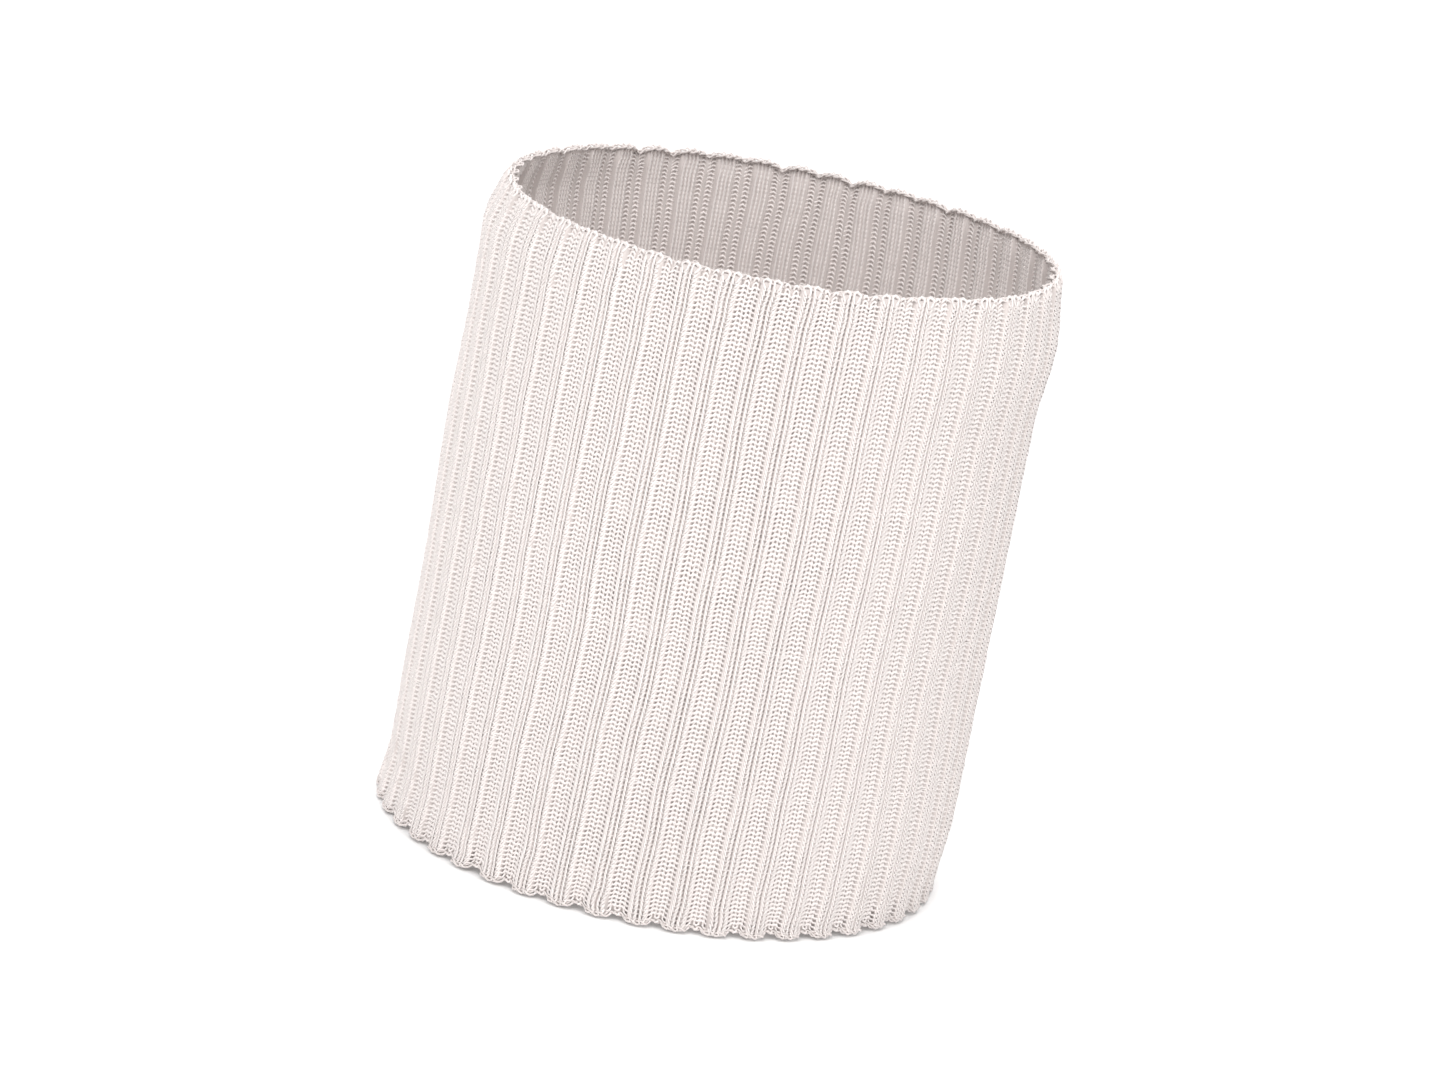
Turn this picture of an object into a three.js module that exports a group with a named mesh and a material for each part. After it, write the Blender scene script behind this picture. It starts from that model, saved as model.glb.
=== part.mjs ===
// A knitted sweat wristband: a seamless 2x2 rib tube, open at both ends, with a
// bound-off chain round each rim, fine elastic threads laid along its inner face
// and the two ends of its yarn darned in. Millimetres, +Z up, the bottom rim on
// z = 0 and the tube's axis on the Z axis. The front of the band faces -Y.
//
// The fabric is made as a front and a back half, which part along Y as the band
// is pulled open over a hand.
import * as THREE from 'three';

// ---- Driving dimensions -------------------------------------------------------
const bandHeight = 75;         // from rim to rim
const bandDiameter = 66;       // over the ribs
const ribCount = 46;           // raised pairs of knit wales round the band
const wallThickness = 0.9;     // the knit, through one wale
const ribDepth = 0.6;          // how far the purl wales lie behind the knit wales
const chainHeight = 1.4;       // the bound-off chain round each rim
const chainThickness = 1.3;
const elasticCount = 8;        // elastic threads up the band
const elasticDiameter = 0.4;
const elasticInset = 8;        // from each rim to the first thread
const yarnDiameter = 0.5;      // the yarn's darned-in ends
const yarnEndLength = 11;
const yarnEndInset = 1;        // from each rim to the start of its yarn end
const yarnEndSway = 0.4;       // to each side of its own line
const yarnEndAngle = 0.6;      // radians from the back or front of the band to each end
const seamGap = 0.3;           // between the front half and the back half
const fitGap = 0.35;           // between the fabric and what lies on it

// ---- How the standing band sags out of round ---------------------------------
const topTuck = 1.6;           // the rim curls in at the top left
const topTuckReach = 6;
const shoulderBulge = 0.8;     // the right side swells below the rim
const shoulderDrop = 9;        // from the top rim to the middle of the swell
const shoulderReach = 9;
const footFlare = 0.8;         // the bottom left rim kicks out
const footFlareReach = 7;
const footTuck = 0.7;          // the bottom right rim draws in
const footTuckReach = 10;

// ---- What follows from them ----------------------------------------------------
const middleRadius = bandDiameter / 2 - (wallThickness + ribDepth) / 2;
const innerRadius = middleRadius - (wallThickness + ribDepth) / 2;
const samplesPerRib = 4;       // corners round the band
const wallSteps = 8;           // rows of the wall's corners
const threadSegments = 48;     // corners round an elastic thread's ring
const threadSides = 5;         // and round the thread itself
const yarnEndBends = 4;
const yarnEndSteps = 16;
const yarnEndCurve = 4;        // corners to a quarter of its section
const wallBottom = chainHeight + fitGap;
const wallTop = bandHeight - chainHeight - fitGap;
const wallLevels = [];         // heights of the wall's rows of corners, closest near the rims
for (let i = 0; i <= wallSteps; i += 1) {
  const share = (1 - Math.cos((Math.PI * i) / wallSteps)) / 2;
  wallLevels.push(wallBottom + (wallTop - wallBottom) * share);
}

// ---- Materials -----------------------------------------------------------------
function knitMaterial() {
  return new THREE.MeshStandardMaterial({ color: 0xf0e8e5, roughness: 0.9, metalness: 0 });
}

function chainMaterial() {
  return new THREE.MeshStandardMaterial({ color: 0xeee5e2, roughness: 0.9, metalness: 0 });
}

function elasticMaterial() {
  return new THREE.MeshStandardMaterial({ color: 0xe6dfd9, roughness: 0.7, metalness: 0 });
}

// ---- The band's shape ------------------------------------------------------------
function fade(distance, reach) {
  const share = Math.min(Math.max(1 - Math.abs(distance) / reach, 0), 1);
  return share * share * (3 - 2 * share);
}

// How far the band stands out of the true cylinder, at an angle from +X and a height.
function slack(angle, height) {
  const right = Math.max(Math.cos(angle), 0) ** 2;
  const left = Math.max(-Math.cos(angle), 0) ** 2;
  return (
    - left * topTuck * fade(bandHeight - height, topTuckReach)
    + right * shoulderBulge * fade(bandHeight - shoulderDrop - height, shoulderReach)
    + left * footFlare * fade(height, footFlareReach)
    - right * footTuck * fade(height, footTuckReach)
  );
}

// The same on the wall, which runs straight from one row of corners to the next.
function wallSlack(angle, height) {
  const inWall = Math.min(Math.max(height, wallBottom), wallTop);
  const above = wallLevels.findIndex((level, i) => i > 0 && level >= inWall);
  const [low, high] = [wallLevels[above - 1], wallLevels[above]];
  const share = (inWall - low) / (high - low);
  return (1 - share) * slack(angle, low) + share * slack(angle, high);
}

function settle(geometry, slackAt) {
  const place = geometry.attributes.position;
  const point = new THREE.Vector3();
  for (let i = 0; i < place.count; i += 1) {
    point.fromBufferAttribute(place, i);
    const radius = Math.hypot(point.x, point.y);
    const out = slackAt(Math.atan2(point.y, point.x), point.z);
    point.x *= (radius + out) / radius;
    point.y *= (radius + out) / radius;
    place.setXYZ(i, point.x, point.y, point.z);
  }
  geometry.computeVertexNormals();
  return geometry;
}

// The middle of the wall: out at each pair of knit wales, in at each pair of purl wales,
// with a pair of knit wales at the middle of the band's front.
function ribRadius(angle) {
  const fromFront = angle + Math.PI / 2;
  return middleRadius + (ribDepth / 2) * Math.cos(ribCount * fromFront);
}

// Half of the ribbed ring seen from above, on the +Y side, clear of the other half.
function halfRing(thickness) {
  const outside = [];
  const inside = [];
  const last = (ribCount * samplesPerRib) / 2;
  for (let i = 0; i <= last; i += 1) {
    const angle = (Math.PI * i) / last;
    for (const [points, side] of [[outside, 1], [inside, -1]]) {
      const radius = ribRadius(angle) + (side * thickness) / 2;
      const across = radius * Math.cos(angle);
      const along = Math.max(radius * Math.sin(angle), seamGap / 2);
      points.push(new THREE.Vector2(across, along));
    }
  }
  return new THREE.Shape(outside.concat(inside.reverse()));
}

function halfBand(name, thickness, levels, material, front) {
  const steps = levels.length - 1;
  const geometry = new THREE.ExtrudeGeometry(halfRing(thickness), {
    depth: steps,
    steps,
    bevelEnabled: false,
  });
  if (front) {
    geometry.rotateZ(Math.PI);
  }
  const place = geometry.attributes.position;
  for (let i = 0; i < place.count; i += 1) {
    place.setZ(i, levels[Math.round(place.getZ(i))]);
  }
  const mesh = new THREE.Mesh(settle(geometry, slack), material);
  mesh.name = name;
  return mesh;
}

// ---- Sub-parts ---------------------------------------------------------------------
function knitHalf(name, front) {
  return halfBand(name, wallThickness, wallLevels, knitMaterial(), front);
}

function bottomChain(name, front) {
  return halfBand(name, chainThickness, [0, chainHeight], chainMaterial(), front);
}

function topChain(name, front) {
  const levels = [bandHeight - chainHeight, bandHeight];
  return halfBand(name, chainThickness, levels, chainMaterial(), front);
}

// A ring of elastic thread lying against the inner face.
function elasticThread(index) {
  const thread = elasticDiameter / 2;
  const span = bandHeight - 2 * elasticInset;
  const height = elasticInset + (span * index) / (elasticCount - 1);
  const radius = innerRadius - fitGap - thread;
  const section = [];
  for (let i = 0; i <= threadSides; i += 1) {
    const turn = (2 * Math.PI * (i % threadSides)) / threadSides;
    section.push(new THREE.Vector2(radius + thread * Math.cos(turn), thread * Math.sin(turn)));
  }
  const geometry = new THREE.LatheGeometry(section, threadSegments);
  geometry.rotateX(Math.PI / 2);
  geometry.translate(0, 0, height);
  const mesh = new THREE.Mesh(settle(geometry, wallSlack), elasticMaterial());
  mesh.name = `elastic_thread_${String(index + 1).padStart(2, '0')}`;
  return mesh;
}

// A yarn end darned in on the inner face from a rim, over the elastic threads.
function yarnEnd(name, rim, direction, angle) {
  const thread = yarnDiameter / 2;
  const points = [];
  const chainFace = innerRadius - (chainThickness - wallThickness) / 2;
  const threadFace = innerRadius - fitGap - elasticDiameter;
  const clear = Math.min(chainFace, threadFace) - fitGap - thread;
  for (let i = 0; i <= yarnEndBends; i += 1) {
    const height = rim + direction * (yarnEndInset + (yarnEndLength * i) / yarnEndBends);
    const sway = angle + (yarnEndSway / innerRadius) * Math.sin((2 * Math.PI * i) / yarnEndBends);
    const radius = clear + wallSlack(sway, height);
    points.push(new THREE.Vector3(radius * Math.cos(sway), radius * Math.sin(sway), height));
  }
  const section = new THREE.Shape();
  section.absarc(0, 0, thread, 0, 2 * Math.PI);
  const geometry = new THREE.ExtrudeGeometry(section, {
    steps: yarnEndSteps,
    curveSegments: yarnEndCurve,
    extrudePath: new THREE.CatmullRomCurve3(points),
  });
  const mesh = new THREE.Mesh(geometry, knitMaterial());
  mesh.name = name;
  return mesh;
}

// ---- The band ------------------------------------------------------------------------
const band = new THREE.Group();
band.add(knitHalf('rib_knit_back', false));
band.add(knitHalf('rib_knit_front', true));
band.add(bottomChain('cast_on_edge_back', false));
band.add(bottomChain('cast_on_edge_front', true));
band.add(topChain('bound_off_edge_back', false));
band.add(topChain('bound_off_edge_front', true));
for (let i = 0; i < elasticCount; i += 1) {
  band.add(elasticThread(i));
}
band.add(yarnEnd('yarn_end_bottom', 0, 1, Math.PI / 2 + yarnEndAngle));
band.add(yarnEnd('yarn_end_top', bandHeight, -1, -Math.PI / 2 - yarnEndAngle));

export default band;
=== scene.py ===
"""A rib-knit sweat wristband: one seamless tube of 2x2 rib, knitted stitch by stitch.

Lengths are metres. The band stands on z = 0 round the Z axis, with its front towards -Y.
Every piece of yarn is laid out flat first, as knitting is charted: ribs across, courses up
and the right side of the fabric towards the outside, and is then closed round the band.
"""
import math

import bpy
import numpy as np
from mathutils import Matrix, Vector


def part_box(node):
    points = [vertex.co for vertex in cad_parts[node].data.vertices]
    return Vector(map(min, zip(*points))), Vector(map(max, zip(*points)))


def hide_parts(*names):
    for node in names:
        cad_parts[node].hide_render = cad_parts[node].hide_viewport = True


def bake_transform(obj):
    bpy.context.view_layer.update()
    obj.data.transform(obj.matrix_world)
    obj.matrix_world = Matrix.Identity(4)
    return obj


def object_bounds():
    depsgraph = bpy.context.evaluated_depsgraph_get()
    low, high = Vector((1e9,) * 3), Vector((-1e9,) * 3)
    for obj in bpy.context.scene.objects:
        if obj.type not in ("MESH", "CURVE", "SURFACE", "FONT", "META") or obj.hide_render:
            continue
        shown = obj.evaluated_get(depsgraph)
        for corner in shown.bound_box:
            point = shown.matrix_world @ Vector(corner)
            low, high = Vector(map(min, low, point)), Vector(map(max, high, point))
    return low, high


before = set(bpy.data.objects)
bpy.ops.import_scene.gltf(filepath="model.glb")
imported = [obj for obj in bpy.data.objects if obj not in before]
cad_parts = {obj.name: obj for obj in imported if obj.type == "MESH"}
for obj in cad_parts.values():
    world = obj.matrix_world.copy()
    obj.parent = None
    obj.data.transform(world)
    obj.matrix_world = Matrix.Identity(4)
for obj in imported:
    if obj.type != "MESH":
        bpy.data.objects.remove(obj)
CAD_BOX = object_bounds()

bl_info = {
    "name": "Rib-knit wristband",
    "version": (1, 0, 0),
    "blender": (4, 5, 0),
    "location": "View3D > Sidebar > Wristband",
    "description": "Knits a sweat wristband in 2x2 rib, with its edges, elastic and yarn ends",
    "category": "Object",
}

# ---- Places taken from the frame ------------------------------------------------
WALL_LOW, WALL_HIGH = (np.array(c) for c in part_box("rib_knit_back"))
CHAIN_LOW, CHAIN_HIGH = (np.array(c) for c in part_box("cast_on_edge_back"))
BAND_TOP = float(CAD_BOX[1][2])
BAND_RADIUS = float(WALL_HIGH[1])
THREADS = sorted(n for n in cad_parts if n.startswith("elastic_thread"))
FULL_TURN = 2 * math.pi

# One rib holds a knit wale, two purl wales and a knit wale. A loop is drawn by eight points:
# its foot, the bottom, middle and top of its first leg, its head, and the second leg down.
# Each point is its place across the rib, its lift out of the fabric's middle and its height,
# as shares of the rib's width, the rib lift and the loop's height.
KNIT_LOOP = (
    (0.000, 0.00, -1.00),
    (0.098, 1.45, -0.76),
    (0.054, 1.12, -0.30),
    (0.048, 0.50, 0.64),
    (0.130, 0.30, 1.00),
    (0.232, 0.50, 0.64),
    (0.184, 1.12, -0.30),
    (0.132, 1.45, -0.76),
)
PURL_LOOP = (
    (0.290, -0.12, -1.00),
    (0.343, -0.27, -0.70),
    (0.343, -1.35, 0.00),
    (0.343, -0.27, 0.70),
    (0.395, -0.20, 1.00),
    (0.447, -0.27, 0.70),
    (0.447, -1.35, 0.00),
    (0.447, -0.27, -0.70),
)
PURL_FOOT = (0.500, -0.20, -1.00)
# A sheet behind the loops, coloured darker as painted shade in the gaps between the stitches: its
# profile runs from the middle of one rib's knit wales to its purl wales.
SHADE_BACKING = (
    (0.000, -0.30),
    (0.050, 0.50),
    (0.100, 0.85),
    (0.200, 0.95),
    (0.235, 0.60),
    (0.270, -0.90),
    (0.300, -0.85),
    (0.400, -0.85),
    (0.500, -0.85),
)
SHADE_BACKING_ROWS = 30
SHADE_BACKING_THICKNESS = 0.00012

# How finely the yarn is made. A wale holds one loop, and COURSES_PER_BAND go into one piece.
WALES = 4
STITCH_STEPS = 8
YARN_SIDES = 4
COURSES_PER_BAND = 16
DIRECTION_REACH = 0.4  # of a step to either side, where the yarn's direction is read
WELD_GAP = 0.000002
ROUNDING = 1e-9

# Where the fabric turns from knit to purl, and how much of a rib it takes to turn.
WALE_EDGE = 0.235
WALE_TURN = 0.09

# The chain on each rim: three strands that swing out, in, up and down as they plait.
CHAIN_STRANDS = 3
CHAIN_STEPS = 16
CHAIN_RADIUS = 0.44  # of the yarn's thickness
CHAIN_SWING = 0.00026
CHAIN_RISE = 0.00018
CHAIN_TILT = 0.00006
CHAIN_FOLLOW = 0.9  # of the rib lift
CAST_ON_PLACE = 0.40  # of the chain's height, up from the bottom rim
BOUND_OFF_PLACE = 0.45  # of the chain's height, down from the top rim
BOUND_OFF_INSET = 0.00042

ELASTIC_STEPS = 12
ELASTIC_FOLLOW = 0.8  # of the rib lift

# The darned-in ends: how they lie against the inner face and wander from a straight line.
END_SIDES = 8
END_ROWS = 0.16  # of the yarn's thickness
END_OFFSET = 0.0004
END_WEAVE = 0.00012
END_WEAVES = 5
END_SWAY = 0.0003
END_SWAYS = 2

# Where the standing band sags out of round: how far out, at what height and over what reach.
TOP_LEFT_CURL = (-0.0016, BAND_TOP, 0.006)
RIGHT_SHOULDER = (0.0008, 0.066, 0.009)
BOTTOM_LEFT_KICK = (0.0008, 0.0, 0.007)
BOTTOM_RIGHT_DRAW = (-0.0007, 0.0, 0.010)

# How uneven the knitting is: a seed, the patches round the band, the patches from rim to rim
# and the most a point strays. The ribs lean by shares of a rib, and the rest are lengths,
# apart from the scallop's change, which is a share of it.
LEAN_WIDE = (3, 12, 5, 0.07)
LEAN_FINE = (4, 48, 14, 0.02)
LEAN_AT_RIMS = (5, 48, 40, 0.05)
SCALLOP_CHANGE = (6, 48, 3, 0.6)
DRIFT_WIDE = (7, 30, 12, 0.00018)
DRIFT_FINE = (8, 192, 138, 0.00005)
SWELL_WIDE = (9, 12, 5, 0.00025)
SWELL_FINE = (10, 96, 90, 0.00005)
LEAN_RIM_REACH = 0.009
SCALLOP_REACH = 0.005
BACK_SCALLOP = 1.3  # the top rim's scallop behind, as a share of the one in front
DRIFT_REACH = 0.56  # of the band's height, from its middle

# The yarn's finish: slubs a few stitches long, and single fibres.
SLUB_SCALE = 260.0
SLUB_SHARE = 0.45
FIBRE_SCALE = 9000.0
FIBRE_RELIEF = 0.00004
FIBRE_ROUGHNESS = 0.08

# The stage: the floor, the panels' places, widths and watts, and the camera.
FLOOR_SIZE = 8
FLOOR_DROP = 0.00002
WORLD_LIGHT = 0.66
PANELS = {
    "key_panel": ((-0.5, -1.6, 1.6), 1.5, 24.0),
    "fill_panel": ((1.5, -1.2, 1.0), 1.4, 9.5),
    "top_panel": ((0.0, -0.25, 0.65), 0.35, 0.8),
    "back_panel": ((0.0, 1.7, 1.3), 1.6, 26.0),
}
CAMERA_LENS = 126
CAMERA_SENSOR = 36
CAMERA_RISE = math.radians(15.5)
CAMERA_ROLL = math.radians(10.75)
CAMERA_DISTANCE = 0.5785
CAMERA_AIM = Vector((0.0004, 0, BAND_TOP / 2 - 0.00125))


# ---- What a user would change ------------------------------------------------------
class KnitSizes(bpy.types.PropertyGroup):
    ribs: bpy.props.IntProperty(
        name="Ribs", description="Raised pairs of knit wales round the band", default=46, min=8)
    courses: bpy.props.IntProperty(
        name="Courses", description="Rows of stitches from rim to rim", default=135, min=10)
    fabric: bpy.props.FloatProperty(
        name="Fabric thickness", description="From the inner ribs to the outer ribs",
        default=0.0015, unit="LENGTH")
    yarn: bpy.props.FloatProperty(
        name="Yarn thickness", description="Diameter of the knitting yarn",
        default=0.00031, unit="LENGTH")
    wale_lift: bpy.props.FloatProperty(
        name="Rib lift", description="How far a wale lies from the middle of the fabric",
        default=0.00034, unit="LENGTH")
    loop_height: bpy.props.FloatProperty(
        name="Loop height", description="From a loop's middle to its head, in courses", default=1.25)
    scallop: bpy.props.FloatProperty(
        name="Scallop", description="How far the ribs stand past the purl wales at a rim",
        default=0.00045, unit="LENGTH")
    twist: bpy.props.FloatProperty(
        name="Twist", description="How far the ribs spiral from rim to rim, in ribs", default=0.35)
    elastic: bpy.props.FloatProperty(
        name="Elastic thickness", description="Diameter of the elastic thread",
        default=0.00018, unit="LENGTH")


class KnitColours(bpy.types.PropertyGroup):
    yarn: bpy.props.FloatVectorProperty(
        name="Yarn", description="Colour of the yarn", subtype="COLOR",
        size=3, min=0, max=1, default=(0.87, 0.815, 0.795))
    yarn_shade: bpy.props.FloatVectorProperty(
        name="Yarn, shaded", description="Colour of the yarn's darker fibres", subtype="COLOR",
        size=3, min=0, max=1, default=(0.83, 0.77, 0.75))
    # Painted shade: the dark colour of the sheet seen through the stitches' gaps, and the dark end
    # of the rim chains' painted shade.
    gap_shade: bpy.props.FloatVectorProperty(
        name="Ground", description="Colour of the fibres between the stitches", subtype="COLOR",
        size=3, min=0, max=1, default=(0.63, 0.57, 0.55))
    elastic: bpy.props.FloatVectorProperty(
        name="Elastic", description="Colour of the elastic's covering", subtype="COLOR",
        size=3, min=0, max=1, default=(0.86, 0.81, 0.79))
    floor: bpy.props.FloatVectorProperty(
        name="Floor", description="Colour of the floor", subtype="COLOR",
        size=3, min=0, max=1, default=(0.95, 0.95, 0.95))


# ---- The shape of the band -----------------------------------------------------------
def smooth(share):
    share = np.clip(share, 0, 1)
    return share * share * (3 - 2 * share)


def fade(distance, reach):
    return smooth(1 - np.abs(distance) / reach)


def uneven(turn, share, kind):
    """Noise closed round the band, turn in turns round it and share from 0 to 1 up it."""
    seed, columns, rows, most = kind
    values = np.random.default_rng(seed).uniform(-1, 1, (columns, rows + 2))
    column = np.mod(turn, 1) * columns
    row = np.clip(share, 0, 1) * rows
    before = np.floor(column).astype(int)
    below = np.floor(row).astype(int)
    across = smooth(column - before)
    up = smooth(row - below)
    after = (before + 1) % columns
    before = before % columns
    low = values[before, below] * (1 - across) + values[after, below] * across
    high = values[before, below + 1] * (1 - across) + values[after, below + 1] * across
    return most * (low * (1 - up) + high * up)


def sag(height, place):
    out, middle, reach = place
    return out * fade(height - middle, reach)


def slack(angle, height):
    """How far the standing band sags out of round: the same places as the frame's walls."""
    right = np.maximum(np.cos(angle), 0) ** 2
    left = np.maximum(-np.cos(angle), 0) ** 2
    return (
        left * (sag(height, TOP_LEFT_CURL) + sag(height, BOTTOM_LEFT_KICK))
        + right * (sag(height, RIGHT_SHOULDER) + sag(height, BOTTOM_RIGHT_DRAW))
    )


def close_round(points, sizes):
    """Flat fabric to the band: x in ribs, y out from the middle of the fabric, z up."""
    rib, out, height = points.T
    below_top = BAND_TOP - height
    turn = rib / sizes.ribs
    share = height / BAND_TOP
    near_rim = fade(height, LEAN_RIM_REACH) + fade(below_top, LEAN_RIM_REACH)
    lean = uneven(turn, share, LEAN_WIDE) + uneven(turn, share, LEAN_FINE)
    lean = lean + uneven(turn, share, LEAN_AT_RIMS) * near_rim
    lean = lean + sizes.twist * (share - 0.5)
    angle = FULL_TURN * (rib + lean) / sizes.ribs - math.pi / 2
    purl = 1 - np.abs(np.cos(math.pi * rib))
    knit = 1 - np.abs(np.sin(math.pi * rib))
    ahead = smooth(-np.sin(angle) * 2)
    behind = smooth(np.sin(angle) * 2)
    dip = (purl * ahead + BACK_SCALLOP * knit * behind) * fade(below_top, SCALLOP_REACH)
    scallop = sizes.scallop * (1 + uneven(turn, share, SCALLOP_CHANGE))
    rise = scallop * (purl * fade(height, SCALLOP_REACH) - dip)
    drift = uneven(turn, share, DRIFT_WIDE) + uneven(turn, share, DRIFT_FINE)
    up = np.clip(height + rise + drift * fade(share - 0.5, DRIFT_REACH), 0, None)
    swell = uneven(turn, share, SWELL_WIDE) + uneven(turn, share, SWELL_FINE)
    middle = BAND_RADIUS - sizes.fabric / 2
    radius = middle + out + slack(angle, up) + swell
    return np.stack([radius * np.cos(angle), radius * np.sin(angle), up], axis=1)


def width_of_rib(sizes):
    """One rib's share of the way round, at the middle of the fabric."""
    return FULL_TURN * (BAND_RADIUS - sizes.fabric / 2) / sizes.ribs


def fabric_ends():
    """The heights of the first and last course, halfway up the chains that bind them."""
    half_chain = float(CHAIN_HIGH[2] - CHAIN_LOW[2]) / 2
    return half_chain, BAND_TOP - half_chain


def side_of_fabric(rib):
    """1 over the knit wales and -1 over the purl wales, turning smoothly between them."""
    place = np.mod(rib, 1)
    from_knit = np.minimum(place, 1 - place)
    return 1 - 2 * smooth((from_knit - WALE_EDGE) / WALE_TURN)


# ---- Mesh helpers ---------------------------------------------------------------------
def deselect_all():
    if bpy.context.object and bpy.context.object.mode != "OBJECT":
        bpy.ops.object.mode_set(mode="OBJECT")
    bpy.ops.object.select_all(action="DESELECT")


def points_of(piece):
    flat = np.zeros(len(piece.data.vertices) * 3)
    piece.data.vertices.foreach_get("co", flat)
    return flat.reshape(-1, 3)


def move_points(piece, points):
    piece.data.vertices.foreach_set("co", np.asarray(points, float).ravel())
    piece.data.update()


def apply_modifiers(piece):
    deselect_all()
    bpy.context.view_layer.objects.active = piece
    piece.select_set(True)
    for modifier in list(piece.modifiers):
        bpy.ops.object.modifier_apply(modifier=modifier.name)


def weld(piece):
    deselect_all()
    bpy.context.view_layer.objects.active = piece
    piece.select_set(True)
    bpy.ops.object.mode_set(mode="EDIT")
    bpy.ops.mesh.select_all(action="SELECT")
    bpy.ops.mesh.remove_doubles(threshold=WELD_GAP)
    bpy.ops.mesh.normals_make_consistent(inside=False)
    bpy.ops.object.mode_set(mode="OBJECT")
    bpy.ops.object.shade_smooth()


def repeat(piece, count, step):
    modifier = piece.modifiers.new("repeat", "ARRAY")
    modifier.count = count
    modifier.use_relative_offset = False
    modifier.use_constant_offset = True
    modifier.constant_offset_displace = step


def rolled_strip(name, steps, sides):
    """An open tube one unit long, ready to be laid along a path: x along it and y round it."""
    deselect_all()
    bpy.ops.mesh.primitive_grid_add(x_subdivisions=steps, y_subdivisions=sides, size=1)
    piece = bpy.context.object
    piece.name = piece.data.name = name
    return piece


def lay_yarn(piece, path, radius):
    """Rolls the strip round a path, laid flat and given as a function of the share along it."""
    points = points_of(piece)
    share = points[:, 0] + 0.5
    round_it = (points[:, 1] + 0.5) * FULL_TURN
    nearby = DIRECTION_REACH / (len(set(np.round(share, 6))) - 1)
    along = path(share + nearby) - path(share - nearby)
    along /= np.linalg.norm(along, axis=1)[:, None]
    across = np.cross(along, np.array([0.0, 1.0, 0.0]))
    across /= np.linalg.norm(across, axis=1)[:, None]
    lift = np.cross(across, along)
    turn = round_it + math.pi / YARN_SIDES
    centre = path(share)
    move_points(piece, centre + radius * (
        np.cos(turn)[:, None] * across + np.sin(turn)[:, None] * lift))


def close_piece(piece, sizes, rib_width):
    """Closes a flat piece round the band and welds its ends."""
    points = points_of(piece)
    points[:, 0] /= rib_width
    move_points(piece, close_round(points, sizes))
    weld(piece)


def finish_piece(piece, material):
    piece.data.materials.clear()
    piece.data.materials.append(material)
    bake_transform(piece)


# ---- Shader maths -------------------------------------------------------------------------
class Value:
    """A socket that takes part in Python sums."""

    def __init__(self, tree, socket):
        self.tree, self.socket = tree, socket

    def _math(self, operation, first, second):
        node = self.tree.nodes.new("ShaderNodeMath")
        node.operation = operation
        for socket, value in zip(node.inputs, (first, second)):
            if isinstance(value, Value):
                self.tree.links.new(value.socket, socket)
            else:
                socket.default_value = value
        return Value(self.tree, node.outputs[0])

    def __add__(self, other):
        return self._math("ADD", self, other)

    __radd__ = __add__

    def __mul__(self, other):
        return self._math("MULTIPLY", self, other)

    __rmul__ = __mul__


class Finish:
    """One material, and the only place where its nodes are made."""

    def __init__(self, name):
        self.material = bpy.data.materials.new(name)
        self.material.use_nodes = True
        self.tree = self.material.node_tree
        self.shader = self.tree.nodes["Principled BSDF"]

    def node(self, kind, settings=None, output=0, **values):
        node = self.tree.nodes.new(kind)
        for name, value in (settings or {}).items():
            setattr(node, name, value)
        for name, value in values.items():
            self.put(node.inputs[name.replace("_", " ")], value)
        return Value(self.tree, node.outputs[output])

    def put(self, socket, value):
        if isinstance(value, Value):
            self.tree.links.new(value.socket, socket)
        else:
            socket.default_value = value

    def mix(self, share, first, second):
        node = self.tree.nodes.new("ShaderNodeMix")
        node.data_type = "RGBA"
        self.put(node.inputs[0], share)
        self.put(node.inputs[6], first)
        self.put(node.inputs[7], second)
        return Value(self.tree, node.outputs[2])

    def set(self, **values):
        for name, value in values.items():
            self.put(self.shader.inputs[name.replace("_", " ")], value)


def spun_yarn(name, light, dark, roughness, bump):
    """Matte spun yarn: slubs a few stitches long and single fibres across them."""
    finish = Finish(name)
    place = finish.node("ShaderNodeTexCoord", output=3)
    slubs = finish.node("ShaderNodeTexNoise", Vector=place, Scale=SLUB_SCALE, Detail=3.0)
    fibres = finish.node("ShaderNodeTexNoise", Vector=place, Scale=FIBRE_SCALE, Detail=2.0)
    shade = slubs * SLUB_SHARE + fibres * (1 - SLUB_SHARE)
    finish.set(
        Base_Color=finish.mix(shade, (*dark, 1), (*light, 1)),
        Roughness=roughness + fibres * FIBRE_ROUGHNESS,
        Normal=finish.node("ShaderNodeBump", Strength=bump, Distance=FIBRE_RELIEF, Height=fibres),
        Specular_IOR_Level=0.25,
        Sheen_Weight=0.25,
        Sheen_Roughness=0.6,
    )
    return finish.material


# ---- Pieces ---------------------------------------------------------------------------------
def stitch_path(sizes, rib_width, course):
    """The yarn of one course through one rib: a loop in each of its four wales."""
    first_half = np.array(KNIT_LOOP + PURL_LOOP)
    second_half = first_half[::-1] * (-1, 1, 1) + (1, 0, 0)
    points = np.concatenate([first_half, [PURL_FOOT], second_half])
    return drawn_path(points * (rib_width, sizes.wale_lift, sizes.loop_height * course))


def drawn_path(corners):
    """A path through listed points, for lay_yarn: evenly spaced, one step apart."""
    steps = len(corners) - 1
    period = corners[-1] - corners[0]

    def path(share):
        place = share * steps
        whole = np.floor(place + ROUNDING)
        part = (place - whole)[:, None]
        index = whole.astype(int)
        first = corners[index % steps] + (index // steps)[:, None] * period
        second = corners[(index + 1) % steps] + ((index + 1) // steps)[:, None] * period
        return first * (1 - part) + second * part

    return path


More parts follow.
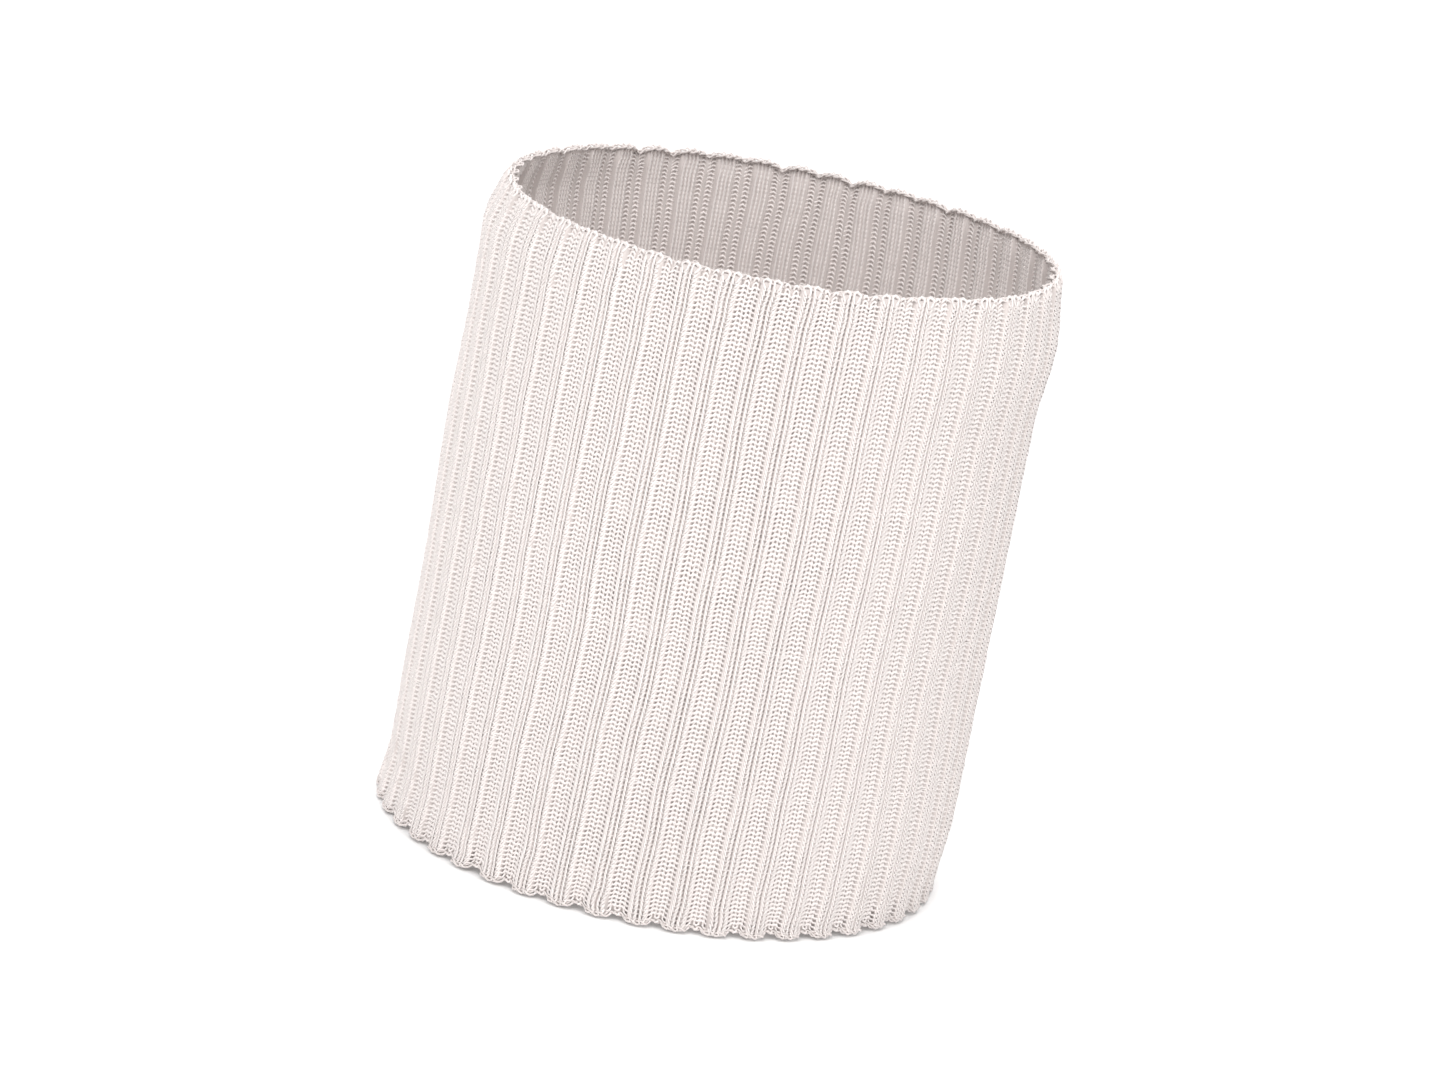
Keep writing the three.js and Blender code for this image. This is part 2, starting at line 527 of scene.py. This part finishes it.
class KNIT_OT_courses(bpy.types.Operator):
    """Knit the tube: every course is one ring of yarn, looped through the next"""
    bl_idname = "wristband.knit_courses"
    bl_label = "Knit the rib"

    def execute(self, context):
        sizes = context.scene.knit_sizes
        rib_width = width_of_rib(sizes)
        bottom, top = fabric_ends()
        course = (top - bottom) / sizes.courses
        path = stitch_path(sizes, rib_width, course)
        colours = context.scene.knit_colours
        material = spun_yarn(
            "off_white_yarn", colours.yarn, colours.yarn_shade, roughness=0.86, bump=0.5)
        for number, first in enumerate(range(0, sizes.courses, COURSES_PER_BAND), 1):
            count = min(COURSES_PER_BAND, sizes.courses - first)
            piece = rolled_strip(f"knit_courses_{number:02d}", WALES * STITCH_STEPS, YARN_SIDES)
            lay_yarn(piece, path, sizes.yarn / 2)
            points = points_of(piece)
            points[:, 2] += bottom + (first + 0.5) * course
            move_points(piece, points)
            repeat(piece, sizes.ribs, (rib_width, 0, 0))
            repeat(piece, count, (0, 0, course))
            apply_modifiers(piece)
            close_piece(piece, sizes, rib_width)
            finish_piece(piece, material)
        return {"FINISHED"}


class KNIT_OT_backing_shade(bpy.types.Operator):
    """Lay a sheet behind the stitches, coloured darker as painted shade in their gaps"""
    bl_idname = "wristband.fabric_ground"
    bl_label = "Lay the ground"

    def execute(self, context):
        sizes = context.scene.knit_sizes
        rib_width = width_of_rib(sizes)
        bottom, top = fabric_ends()
        other_half = tuple((1 - place, lift) for place, lift in SHADE_BACKING[-2::-1])
        places, lifts = np.array(SHADE_BACKING + other_half).T
        deselect_all()
        bpy.ops.mesh.primitive_grid_add(
            x_subdivisions=len(places) - 1, y_subdivisions=SHADE_BACKING_ROWS, size=1,
            rotation=(math.pi / 2, 0, 0))
        piece = context.object
        bpy.ops.object.transform_apply(location=True, rotation=True, scale=True)
        piece.name = piece.data.name = "painted_shade_sheet"
        points = points_of(piece)
        column = np.round((points[:, 0] + 0.5) * (len(places) - 1)).astype(int)
        points[:, 0] = places[column] * rib_width
        points[:, 1] = lifts[column] * sizes.wale_lift
        points[:, 2] = bottom + (points[:, 2] + 0.5) * (top - bottom)
        move_points(piece, points)
        repeat(piece, sizes.ribs, (rib_width, 0, 0))
        apply_modifiers(piece)
        close_piece(piece, sizes, rib_width)
        wall = piece.modifiers.new("thickness", "SOLIDIFY")
        wall.thickness = SHADE_BACKING_THICKNESS
        wall.offset = 0
        apply_modifiers(piece)
        colours = context.scene.knit_colours
        # The sheet's colour is painted shade for the gaps between the stitches.
        material = spun_yarn(
            "painted_dark_gaps", colours.gap_shade, colours.gap_shade, roughness=0.95, bump=0.3)
        finish_piece(piece, material)
        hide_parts("rib_knit_back", "rib_knit_front")
        return {"FINISHED"}


class KNIT_OT_edges(bpy.types.Operator):
    """Bind the two rims with a chain of the same yarn"""
    bl_idname = "wristband.rim_chains"
    bl_label = "Bind the rims"

    def execute(self, context):
        sizes = context.scene.knit_sizes
        rib_width = width_of_rib(sizes)
        height = float(CHAIN_HIGH[2] - CHAIN_LOW[2])
        colours = context.scene.knit_colours
        # The chain takes the yarn's darker colours, a painted shade that dims its top-lit strands.
        material = spun_yarn(
            "shaded_chain_yarn", colours.yarn_shade, colours.gap_shade, roughness=0.86, bump=0.6)
        for name, middle, out in (
            ("cast_on_edge", height * CAST_ON_PLACE, 0.0),
            ("bound_off_edge", BAND_TOP - height * BOUND_OFF_PLACE, -BOUND_OFF_INSET),
        ):
            strands = [
                self.strand(name, number, middle, out, sizes, rib_width)
                for number in range(CHAIN_STRANDS)
            ]
            deselect_all()
            context.view_layer.objects.active = strands[0]
            for strand in strands:
                strand.select_set(True)
            bpy.ops.object.join()
            piece = context.object
            piece.name = piece.data.name = f"{name}_chain"
            close_piece(piece, sizes, rib_width)
            finish_piece(piece, material)
            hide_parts(f"{name}_back", f"{name}_front")
        return {"FINISHED"}

    def strand(self, name, number, middle, offset, sizes, rib_width):
        """One of the strands that plait along the rim, about a stitch of the chain to a wale."""
        turns = round(sizes.ribs * WALES / CHAIN_STRANDS)

        def path(share):
            turn = FULL_TURN * (turns * share + number / CHAIN_STRANDS)
            rib = share * sizes.ribs
            out = offset + CHAIN_SWING * np.sin(turn)
            out = out + side_of_fabric(rib) * sizes.wale_lift * CHAIN_FOLLOW
            up = middle + CHAIN_RISE * np.sin(2 * turn) + CHAIN_TILT * np.cos(turn)
            return np.stack([rib * rib_width, out, up], axis=1)

        piece = rolled_strip(f"{name}_{number}", CHAIN_STEPS * sizes.ribs, YARN_SIDES)
        lay_yarn(piece, path, sizes.yarn * CHAIN_RADIUS)
        return piece


class KNIT_OT_elastic(bpy.types.Operator):
    """Run the covered elastic through the fabric, inside the loops"""
    bl_idname = "wristband.elastic_threads"
    bl_label = "Run the elastic"

    def execute(self, context):
        sizes = context.scene.knit_sizes
        rib_width = width_of_rib(sizes)
        colours = context.scene.knit_colours
        material = spun_yarn(
            "covered_elastic", colours.elastic, colours.elastic, roughness=0.7, bump=0.2)
        for node in THREADS:
            low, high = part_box(node)
            height = (low[2] + high[2]) / 2

            def path(share):
                out = side_of_fabric(share) * sizes.wale_lift * ELASTIC_FOLLOW
                return np.stack([share * rib_width, out, np.full_like(share, height)], axis=1)

            piece = rolled_strip(f"{node}_covered", ELASTIC_STEPS, YARN_SIDES)
            lay_yarn(piece, path, sizes.elastic / 2)
            repeat(piece, sizes.ribs, (rib_width, 0, 0))
            apply_modifiers(piece)
            close_piece(piece, sizes, rib_width)
            finish_piece(piece, material)
            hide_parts(node)
        return {"FINISHED"}


class KNIT_OT_yarn_ends(bpy.types.Operator):
    """Darn in the two loose ends of the yarn on the inner face"""
    bl_idname = "wristband.yarn_ends"
    bl_label = "Darn in the ends"

    def execute(self, context):
        sizes = context.scene.knit_sizes
        colours = context.scene.knit_colours
        material = spun_yarn(
            "loose_yarn", colours.yarn, colours.yarn_shade, roughness=0.86, bump=0.6)
        for node in ("yarn_end_bottom", "yarn_end_top"):
            low, high = (Vector(c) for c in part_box(node))
            deselect_all()
            bpy.ops.mesh.primitive_cylinder_add(
                vertices=END_SIDES, radius=sizes.yarn * 0.5, depth=high.z - low.z,
                end_fill_type="TRIFAN", location=(0, 0, (low.z + high.z) / 2))
            piece = context.object
            bpy.ops.object.transform_apply(location=True, rotation=True, scale=True)
            piece.name = piece.data.name = f"{node}_darned"
            remesh = piece.modifiers.new("rows", "REMESH")
            remesh.mode = "VOXEL"
            remesh.voxel_size = sizes.yarn * END_ROWS
            apply_modifiers(piece)
            points = points_of(piece)
            share = (points[:, 2] - low.z) / (high.z - low.z)
            centre = (low + high) / 2
            angle = math.atan2(centre.y, centre.x)
            outward = Vector((math.cos(angle), math.sin(angle)))
            across = Vector((-math.sin(angle), math.cos(angle)))
            sway = END_SWAY * np.sin(FULL_TURN * share * END_SWAYS)
            weave = END_OFFSET + END_WEAVE * np.sin(FULL_TURN * share * END_WEAVES)
            points[:, 0] += centre.x + outward.x * weave + across.x * sway
            points[:, 1] += centre.y + outward.y * weave + across.y * sway
            move_points(piece, points)
            deselect_all()
            piece.select_set(True)
            context.view_layer.objects.active = piece
            bpy.ops.object.shade_smooth()
            finish_piece(piece, material)
            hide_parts(node)
        return {"FINISHED"}


# ---- The stage -------------------------------------------------------------------------------
class KNIT_OT_stage(bpy.types.Operator):
    """Set the floor, the soft light and the camera"""
    bl_idname = "wristband.stage"
    bl_label = "Set the stage"

    def execute(self, context):
        self.floor(context)
        self.lights(context)
        self.camera(context)
        context.scene.view_settings.view_transform = "Standard"
        return {"FINISHED"}

    def floor(self, context):
        deselect_all()
        bpy.ops.mesh.primitive_plane_add(size=FLOOR_SIZE, location=(0, 0, -FLOOR_DROP))
        floor = context.object
        floor.name = "studio_floor"
        bpy.ops.object.transform_apply(location=True, rotation=True, scale=True)
        finish = Finish("pale_floor")
        finish.set(Base_Color=(*context.scene.knit_colours.floor, 1), Roughness=0.9,
                   Specular_IOR_Level=0.1)
        floor.data.materials.append(finish.material)

    def lights(self, context):
        world = bpy.data.worlds.new("soft_room")
        context.scene.world = world
        world.use_nodes = True
        sky = world.node_tree.nodes["Background"]
        sky.inputs["Color"].default_value = (1, 1, 1, 1)
        sky.inputs["Strength"].default_value = WORLD_LIGHT
        for name, (place, size, power) in PANELS.items():
            data = bpy.data.lights.new(name, "AREA")
            data.size = size
            data.energy = power
            light = bpy.data.objects.new(name, data)
            context.scene.collection.objects.link(light)
            light.location = place
            aim = Vector((0, 0, BAND_TOP / 2)) - Vector(place)
            light.rotation_euler = aim.to_track_quat("-Z", "Y").to_euler()

    def camera(self, context):
        data = bpy.data.cameras.new("camera")
        data.sensor_width = CAMERA_SENSOR
        data.lens = CAMERA_LENS
        camera = bpy.data.objects.new("camera", data)
        context.scene.collection.objects.link(camera)
        away = Vector((0, -math.cos(CAMERA_RISE), math.sin(CAMERA_RISE)))
        place = CAMERA_AIM + CAMERA_DISTANCE * away
        turned = (CAMERA_AIM - place).to_track_quat("-Z", "Y").to_matrix().to_4x4()
        roll = Matrix.Rotation(CAMERA_ROLL, 4, "Z")
        camera.matrix_world = Matrix.Translation(place) @ turned @ roll
        context.scene.camera = camera


class KNIT_PT_panel(bpy.types.Panel):
    """The wristband's sizes, colours and pieces"""
    bl_idname = "KNIT_PT_panel"
    bl_label = "Wristband"
    bl_space_type = "VIEW_3D"
    bl_region_type = "UI"
    bl_category = "Wristband"

    def draw(self, context):
        for group in (context.scene.knit_sizes, context.scene.knit_colours):
            for name in group.bl_rna.properties.keys():
                if name not in ("rna_type", "name"):
                    self.layout.prop(group, name)
        for operator in OPERATORS:
            self.layout.operator(operator.bl_idname)


OPERATORS = (
    KNIT_OT_stage,
    KNIT_OT_courses,
    KNIT_OT_backing_shade,
    KNIT_OT_edges,
    KNIT_OT_elastic,
    KNIT_OT_yarn_ends,
)
CLASSES = (KnitSizes, KnitColours, *OPERATORS, KNIT_PT_panel)


def register():
    for cls in CLASSES:
        bpy.utils.register_class(cls)
    bpy.types.Scene.knit_sizes = bpy.props.PointerProperty(type=KnitSizes)
    bpy.types.Scene.knit_colours = bpy.props.PointerProperty(type=KnitColours)


def unregister():
    del bpy.types.Scene.knit_colours
    del bpy.types.Scene.knit_sizes
    for cls in reversed(CLASSES):
        bpy.utils.unregister_class(cls)


def main():
    register()
    for operator in OPERATORS:
        group, name = operator.bl_idname.split(".")
        getattr(getattr(bpy.ops, group), name)()


if __name__ == "__main__":
    main()
